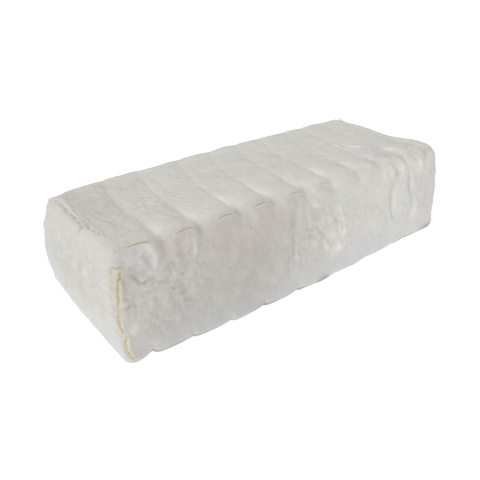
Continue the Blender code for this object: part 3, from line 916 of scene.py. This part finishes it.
def skin():
    """Depth of the rind's skin: crossing creases, small bumps, roughness, and the mat cloth's streaks."""
    inputs = {"Place": "Vector", "Leathery": "Float", "Pebbled": "Float", "On Top": "Float"}
    tree, given, result = new_tree("Skin of the rind", inputs, {"Depth": "Float"})
    place = wandered(tree, given["Place"], CREASE_SIZES[0], CREASE_WARP)
    creases = []
    for size, crease_depth in zip(CREASE_SIZES, CREASE_DEPTHS):
        noise = add(tree, NOISE, {"Vector": place, "Scale": 1 / size, "Detail": 1.0})
        from_line = add(tree, MINUS, (noise, NOISE_MIDDLE))
        crease = fading(tree, from_line, CREASE_REACH, 1)
        creases.append(add(tree, TIMES, (crease, crease_depth)))
    creases = add(tree, TIMES, (layered(tree, *creases), given["Leathery"]))

    feeds = {"Vector": place, "Scale": 1 / PEBBLE_SIZE, "Smoothness": 0.3}
    pebble = add(tree, "ShaderNodeTexVoronoi", feeds, feature="SMOOTH_F1")
    pebble = add(tree, MINUS, (pebble, PEBBLE_MIDDLE))
    pebble = add(tree, TIMES, (pebble, PEBBLE_HEIGHT))
    pebble = add(tree, TIMES, (pebble, given["Pebbled"]))

    rough = uneven(tree, given["Place"], 1 / ROUGH_SIZE, ROUGH_HEIGHT, 3.0)
    rougher = add(tree, TIMES_PLUS, (given["Leathery"], ROUGHER_LEATHER, 1))
    rough = add(tree, TIMES, (rough, rougher))
    smoother = add(tree, TIMES_PLUS, (given["On Top"], SMOOTHER_TOP - 1, 1))
    rough = add(tree, TIMES, (rough, smoother))

    parts = add(tree, PARTS, (given["Place"],)).outputs
    tilted = add(tree, TIMES_PLUS, (parts["Y"], STREAK_TILT, parts["X"]))
    tilted = add(tree, "ShaderNodeCombineXYZ", (tilted, parts["Y"], parts["Z"]))
    stretch = (1 / STREAK_SIZE, 1 / STREAK_LENGTH, 1 / STREAK_LENGTH)
    stretched = add(tree, VECTOR_MATH, (tilted, stretch), operation="MULTIPLY")
    streak = uneven(tree, stretched, 1.0, STREAK_HEIGHT, 2.0)
    streak = add(tree, TIMES, (streak, given["On Top"]))
    feed(result, (layered(tree, creases, pebble, rough, streak),))
    return tree


def rind_relief():
    """The loaf's low relief: the mats' marks, the splits and wrinkles, and the rind's uneven thickness."""
    inputs = {"Loaf": "Geometry", "Rind": "Material"} | dict.fromkeys(LINES, "Object")
    inputs |= dict.fromkeys(RELIEF_SIZES, "Float")
    tree, given, result = new_tree("Rind relief", inputs, {"Loaf": "Geometry"})
    block = add(tree, STORED, {"Name": "block"}, data_type="FLOAT_VECTOR")
    facing = add(tree, STORED, {"Name": "facing"}, data_type="FLOAT_VECTOR")
    folds, hollows, leathery, pebbled = (
        add(tree, STORED, {"Name": name}, data_type="FLOAT")
        for name in ("folds", "hollows", "leathery", "pebbled")
    )
    up = add(tree, PARTS, (block,)).outputs["Z"]
    looks_up = add(tree, PARTS, (facing,)).outputs["Z"]
    on_top = add(tree, MATH, (looks_up, 0), operation="MAXIMUM")

    depths = [folds, hollows]
    for name, (*mark_sizes, fade) in MATS.items():
        mark = add(tree, GROUP, (block, given["Bar Pitch"], *mark_sizes), node_tree=mat_marks(name))
        mark = add(tree, MINUS, (mark, RISE))
        depths.append(add(tree, TIMES, (mark, add(tree, SOFT_RANGE, (up, *fade)))))
    stored = {}
    slit_tree = slits()
    for kind, (_, *line_sizes) in LINES.items():
        cut = add(tree, GROUP, (given[kind], *line_sizes), node_tree=slit_tree).outputs
        depths.append(cut["Depth"])
        stored[kind + "_away"] = cut["Away"]
        stored[kind + "_opening"] = cut["Opening"]

    feeds = {"Place": block, "Leathery": leathery, "Pebbled": pebbled, "On Top": on_top}
    rough = add(tree, GROUP, feeds, node_tree=skin())
    flatness = add(tree, MATH, (looks_up,), operation="ABSOLUTE")
    side_share = add(tree, TIMES_PLUS, (flatness, RIPPLE_SHARE_ON_TOP - 1, 1))
    layers = [rough]
    for name, detail, share in (("Lump", 1.0, 1), ("Ripple", 3.0, side_share)):
        often = add(tree, OVER, (1, given[name + " Size"]))
        layer = uneven(tree, block, often, given[name + " Height"], detail)
        layers.append(add(tree, TIMES, (layer, share)))
    off_base = add(tree, SOFT_RANGE, (looks_up, BASE_FULL, BASE_START, 0, 1))
    thickness = add(tree, TIMES, (layered(tree, *layers), off_base))
    total = layered(tree, thickness, *depths)

    loaf = given["Loaf"]
    stored["sunk"] = layered(tree, rough, folds)
    for name, value in stored.items():
        feeds = {"Geometry": loaf, "Name": name, "Value": value}
        loaf = add(tree, "GeometryNodeStoreNamedAttribute", feeds, data_type="FLOAT", domain="POINT")
    outwards = add(tree, TIMES, (total, -1))
    offset = add(tree, VECTOR_MATH, {"Vector": facing, "Scale": outwards}, operation="SCALE")
    loaf = add(tree, "GeometryNodeSetPosition", {"Geometry": loaf, "Offset": offset})

    # Nothing goes below the level that the bar rests on
    place = add(tree, "GeometryNodeInputPosition")
    held = add(tree, VECTOR_MATH, (place, (-LENGTH, -LENGTH, 0)), operation="MAXIMUM")
    loaf = add(tree, "GeometryNodeSetPosition", {"Geometry": loaf, "Position": held})
    loaf = add(tree, "GeometryNodeSetShadeSmooth", {"Geometry": loaf, "Shade Smooth": True})
    loaf = add(tree, "GeometryNodeRealizeInstances", {"Geometry": loaf})
    loaf = add(tree, "GeometryNodeSetMaterial", {"Geometry": loaf, "Material": given["Rind"]})
    feed(result, (loaf,))
    return tree


def make_plain(obj):
    """Turns what the object's modifiers make into its own plain mesh."""
    graph = bpy.context.evaluated_depsgraph_get()
    mesh = bpy.data.meshes.new_from_object(obj.evaluated_get(graph))
    mesh.name = obj.name
    obj.modifiers.clear()
    obj.data = mesh


def brie_loaf(rind):
    """The whole bar. Its box keeps the place of the solid that it stands for."""
    place, skin_faces = square_block()
    block, facing = round_edges(place)
    settled = block + settle(block)
    low, high = (np.array(corner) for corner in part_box("brie_loaf"))
    own_low, own_high = settled.min(axis=0), settled.max(axis=0)
    shift = (low + high - own_low - own_high) / 2
    shift[2] = low[2] - own_low[2]
    flake, flake_faces = curled_flake()
    settled = np.concatenate((settled, flake + settle(flake))) + shift
    flake_faces = [[corner + len(block) for corner in face] for face in flake_faces]
    mesh = bpy.data.meshes.new("brie_loaf")
    mesh.from_pydata(settled, [], skin_faces.tolist() + flake_faces)

    faces = on_faces(block, facing)
    folds, hollows = folded(faces)
    values = {"block": block, "facing": facing, "folds": folds, "hollows": hollows}
    values |= {name: patched(patches, faces) for name, patches in PATCHES.items()}
    for name, value in values.items():
        kind, part = ("FLOAT_VECTOR", "vector") if value.ndim == 2 else ("FLOAT", "value")
        on_flake = flake if name == "block" else np.zeros((len(flake),) + value.shape[1:])
        attribute = mesh.attributes.new(name, kind, "POINT")
        attribute.data.foreach_set(part, np.concatenate((value, on_flake)).ravel())
    loaf = bpy.data.objects.new("bloomy_loaf", mesh)
    guides = {kind: guide_lines(kind + "_lines", lines, shift) for kind, (lines, *_) in LINES.items()}
    for obj in (loaf, *guides.values()):
        bpy.context.scene.collection.objects.link(obj)
    relief = loaf.modifiers.new("relief", "NODES")
    relief.node_group = rind_relief()
    given = {"Rind": rind} | RELIEF_SIZES | guides
    for socket in relief.node_group.interface.items_tree:
        if socket.in_out == "INPUT" and socket.name in given:
            relief[socket.identifier] = given[socket.name]
    thinner = loaf.modifiers.new("thinner", "DECIMATE")
    thinner.ratio = FACES_KEPT
    make_plain(loaf)
    for lines in guides.values():
        bpy.data.objects.remove(lines)
    return loaf


def linear(hex_colour):
    """An sRGB hex colour as linear red, green and blue, with full alpha."""
    shares = [int(hex_colour[i : i + 2], 16) / 255 for i in (1, 3, 5)]
    return tuple(s / 12.92 if s <= 0.04045 else ((s + 0.055) / 1.055) ** 2.4 for s in shares) + (1.0,)


def new_material(name):
    material = bpy.data.materials.new(name)
    material.use_nodes = True
    return material, material.node_tree, material.node_tree.nodes["Principled BSDF"]


def bloomy_rind():
    """White mould rind of a soft-ripened cheese, dry and velvety. It scatters light softly and never shines.
    Where it has split, the golden paste shows."""
    material, tree, shader = new_material("bloomy_rind")
    place = add(tree, "ShaderNodeTexCoord").outputs["Object"]
    block = add(tree, PAINTED, attribute_name="block").outputs["Vector"]

    # Soft blotches and a fine grain, where the mould is thicker or thinner
    coats = []
    for size, detail, strongest, colour in BLOTCHES:
        spots = add(tree, NOISE, {"Vector": place, "Scale": 1 / size, "Detail": detail, "Roughness": 0.65})
        coats.append((add(tree, RANGE, (spots, *NOISE_RANGE, 0, strongest)), colour))

    # Painted highlight on ridges and painted shade in folds, from the depth of the relief
    sunk = add(tree, PAINTED, attribute_name="sunk").outputs["Fac"]
    for start, full, strongest, colour in RIDGE_HIGHLIGHT_AND_FOLD_SHADE:
        coats.append((add(tree, RANGE, (sunk, start, full, 0, strongest)), colour))

    # Tints of the patches, with painted shade and painted highlights among them
    growth = add(tree, NOISE, {"Vector": place, "Scale": 1 / GROWTH_SIZE, "Detail": 3.0, "Roughness": 0.5})
    growth = add(tree, RANGE, (growth, *GROWTH_RANGE, LEAST_GROWTH, 1))
    for name, (strongest, colour) in TINTS.items():
        patch = add(tree, PAINTED, attribute_name=name).outputs["Fac"]
        grown = add(tree, TIMES, (patch, growth))
        coats.append((add(tree, TIMES, (grown, strongest)), colour))

    # Painted contact shadow along the very foot of the sides, where the loaf meets the floor
    up = add(tree, PARTS, (block,)).outputs["Z"]
    start, end, strongest, colour = FOOT_PAINTED_SHADOW
    coats.append((add(tree, SOFT_RANGE, (up, start, end, strongest, 0)), colour))

    # Lines where the rind has split or crumpled: a stain beside each, and a dark line with gaps. Along a
    # wrinkle the dark line is painted shade in the crease, and along a crack it is the paste's colour with
    # painted shade of the slit; along the seam it is the paste's colour
    for name, (stain, line, gap_size, gap_depth) in LINE_LOOKS.items():
        away = add(tree, PAINTED, attribute_name=name + "_away").outputs["Fac"]
        opening = add(tree, PAINTED, attribute_name=name + "_opening").outputs["Fac"]
        reach, strongest, colour = stain
        beside = add(tree, SOFT_RANGE, (away, 0, reach, strongest, 0))
        coats.append((add(tree, TIMES, (beside, opening)), colour))
        gaps = add(tree, NOISE, {"Vector": place, "Scale": 1 / gap_size, "Detail": 1.0})
        gaps = add(tree, RANGE, (gaps, *GAP_RANGE, 1 - gap_depth, 1))
        reach, strongest, colour = line
        start, end = LINE_FADES
        inside = add(tree, SOFT_RANGE, (away, reach * start, reach * end, strongest, 0))
        inside = add(tree, TIMES, (inside, opening))
        coats.append((add(tree, TIMES, (inside, gaps)), colour))

    # Painted shade in the pinhole
    start, end, strongest, colour = PINHOLE_PAINTED_SHADE
    away = add(tree, VECTOR_MATH, (block, PINHOLE), operation="DISTANCE").outputs["Value"]
    coats.append((add(tree, RANGE, (away, start, end, strongest, 0)), colour))

    painted = linear(MOULD_COLOUR)
    for share, colour in coats:
        feeds = {"Factor": share, MIX_UNDER: painted, MIX_OVER: linear(colour)}
        painted = add(tree, MIX, feeds, data_type="RGBA")
    normal = None
    for size, height, detail in FELT:
        level = add(tree, NOISE, {"Vector": place, "Scale": 1 / size, "Detail": detail, "Roughness": 0.6})
        feeds = {"Strength": 1.0, "Distance": height, "Height": level, "Normal": normal}
        normal = add(tree, "ShaderNodeBump", feeds)
    dry = {"Roughness": 0.9, "Specular IOR Level": 0.25, "Sheen Weight": 0.08, "Sheen Roughness": 0.6}
    feed(shader, dry | {"Base Color": painted, "Normal": normal})
    return material


def studio():
    """A pale floor under soft, even light that comes a little more from the near end."""
    scene = bpy.context.scene
    scene.view_settings.view_transform = "Standard"
    scene.world = bpy.data.worlds.new("studio")
    scene.world.use_nodes = True
    tree = scene.world.node_tree
    seen = add(tree, "ShaderNodeLightPath").outputs["Is Camera Ray"]
    strength = add(tree, RANGE, (seen, 0, 1, ROOM_LIGHT, 1))
    feed(tree.nodes["Background"], {"Color": linear(WHITE), "Strength": strength})

    # Matt paper that glows by itself, so that it stays as pale as the photograph's floor
    material, tree, shader = new_material("matt_paper")
    looks = {"Base Color": FLOOR_COLOUR, "Emission Color": WHITE}
    looks = {name: linear(colour) for name, colour in looks.items()}
    feed(shader, looks | {"Roughness": 0.9, "Emission Strength": FLOOR_GLOW})
    mesh = bpy.data.meshes.new("studio_floor")
    square = ((-1, -1), (1, -1), (1, 1), (-1, 1))
    corners = [(x * FLOOR_REACH, y * FLOOR_REACH, FLOOR_LEVEL) for x, y in square]
    mesh.from_pydata(corners, [], [(0, 1, 2, 3)])
    mesh.materials.append(material)
    floor = bpy.data.objects.new("studio_floor", mesh)
    scene.collection.objects.link(floor)

    for name, kind, place, strength, spread in LIGHTS:
        light = bpy.data.lights.new(name, kind)
        light.energy = strength
        if kind == "SUN":
            light.angle = math.radians(spread)
        else:
            light.size = spread
        lamp = bpy.data.objects.new(name, light)
        lamp.location = place
        lamp.rotation_euler = (-Vector(place)).to_track_quat("-Z", "Y").to_euler()
        scene.collection.objects.link(lamp)


def photograph_camera():
    """A camera where the photograph was taken from."""
    turn = Matrix.Rotation(math.radians(VIEW_AROUND), 3, "Z")
    turn @= Matrix.Rotation(math.radians(90 - VIEW_ABOVE), 3, "X")
    turn @= Matrix.Rotation(math.radians(VIEW_ROLL), 3, "Z")
    place = Vector(VIEW_TARGET) + turn @ Vector((-VIEW_SIDEWAYS, -VIEW_UPWARDS, VIEW_DISTANCE))
    lens = bpy.data.cameras.new("photograph_camera")
    lens.sensor_width = SENSOR_WIDTH
    lens.lens = SENSOR_WIDTH * FOCAL_LENGTH_IN_PIXELS / PICTURE_SIDE
    lens.clip_start = 10 * MM
    camera = bpy.data.objects.new("photograph_camera", lens)
    camera.matrix_world = Matrix.Translation(place) @ turn.to_4x4()
    bpy.context.scene.collection.objects.link(camera)
    bpy.context.scene.camera = camera


photograph_camera()
studio()
loaf = brie_loaf(bloomy_rind())
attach(loaf, "root")
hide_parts("brie_loaf")
